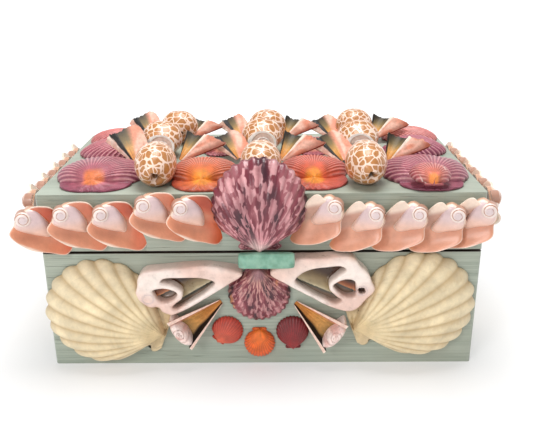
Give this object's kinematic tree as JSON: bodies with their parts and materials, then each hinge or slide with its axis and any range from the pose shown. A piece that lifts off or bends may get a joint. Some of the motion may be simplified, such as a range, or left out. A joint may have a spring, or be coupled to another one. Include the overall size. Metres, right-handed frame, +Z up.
{
  "type": "shell box",
  "caption": "Painted wooden keepsake box with a deep lift-off lid, covered with scallops, sawn conch slices and netted snail shells.",
  "frame": {"origin": "centre of the box's underside, without the shells", "axes": "+X to the right as seen from the front, +Y to the back, +Z up"},
  "size_m": [0.3344, 0.1859, 0.1586],
  "materials": {
    "painted_wood": "sage grey-green brushed paint on wood, satin",
    "sea_glass": "frosted mint sea glass, cloudy and not see-through",
    "cream_scallop": "cream ribbed shell, matt",
    "sliced_conch": "white and pink sawn shell, polished",
    "sawn_cone": "pink outer wall, black sawn edge, olive to orange inside, glossy",
    "calico_scallop": "pink and white ribs with maroon blotches, glossy",
    "salmon_scallop": "salmon red ribbed shell, satin",
    "orange_scallop": "orange ribbed shell, satin",
    "wine_scallop": "dark red ribbed shell with white flecks",
    "purple_scallop": "purple ribbed shell with an orange umbo, satin",
    "rose_scallop": "rose pink ribbed shell, satin",
    "peach_conch": "peach sawn conch with a lavender-white inner whorl, polished",
    "netted_snail": "tan snail shell under a net of white lines, glossy"
  },
  "bodies": {
    "root": {"body": "painted_wood", "lid": "painted_wood", "sea_glass_tab": "sea_glass", "white_scallop_left": "cream_scallop", "white_scallop_right": "cream_scallop", "side_scallop_left": "cream_scallop", "side_scallop_right": "cream_scallop", "sliced_conch_left": "sliced_conch", "sliced_conch_right": "sliced_conch", "front_trough_left": "sawn_cone", "front_trough_right": "sawn_cone", "front_calico_scallop": "calico_scallop", "big_calico_scallop": "calico_scallop", "small_scallop_left": "salmon_scallop", "small_scallop_centre": "orange_scallop", "small_scallop_right": "wine_scallop", "lid_slice_left_1": "peach_conch", "lid_slice_left_2": "peach_conch", "lid_slice_left_3": "peach_conch", "lid_slice_left_4": "peach_conch", "lid_slice_left_5": "peach_conch", "lid_slice_right_1": "peach_conch", "lid_slice_right_2": "peach_conch", "lid_slice_right_3": "peach_conch", "lid_slice_right_4": "peach_conch", "lid_slice_right_5": "peach_conch", "lid_side_row_left": "peach_conch", "lid_side_row_right": "peach_conch", "top_purple_left": "purple_scallop", "top_purple_right": "purple_scallop", "top_orange_left": "orange_scallop", "top_orange_right": "orange_scallop", "top_small_orange": "orange_scallop", "top_rose_left": "rose_scallop", "top_rose_right": "rose_scallop", "top_pink_left": "rose_scallop", "top_pink_right": "rose_scallop", "top_salmon_left": "salmon_scallop", "top_salmon_right": "salmon_scallop", "snail_front_1": "netted_snail", "snail_front_2": "netted_snail", "snail_front_3": "netted_snail", "snail_middle_1": "netted_snail", "snail_middle_2": "netted_snail", "snail_middle_3": "netted_snail", "snail_back_1": "netted_snail", "snail_back_2": "netted_snail", "snail_back_3": "netted_snail", "top_trough_left_1": "sawn_cone", "top_trough_left_2": "sawn_cone", "top_trough_left_3": "sawn_cone", "top_trough_left_4": "sawn_cone", "top_trough_left_5": "sawn_cone", "top_trough_left_6": "sawn_cone", "top_trough_right_1": "sawn_cone", "top_trough_right_2": "sawn_cone", "top_trough_right_3": "sawn_cone", "top_trough_right_4": "sawn_cone", "top_trough_right_5": "sawn_cone", "top_trough_right_6": "sawn_cone"}
  },
  "joints": []
}
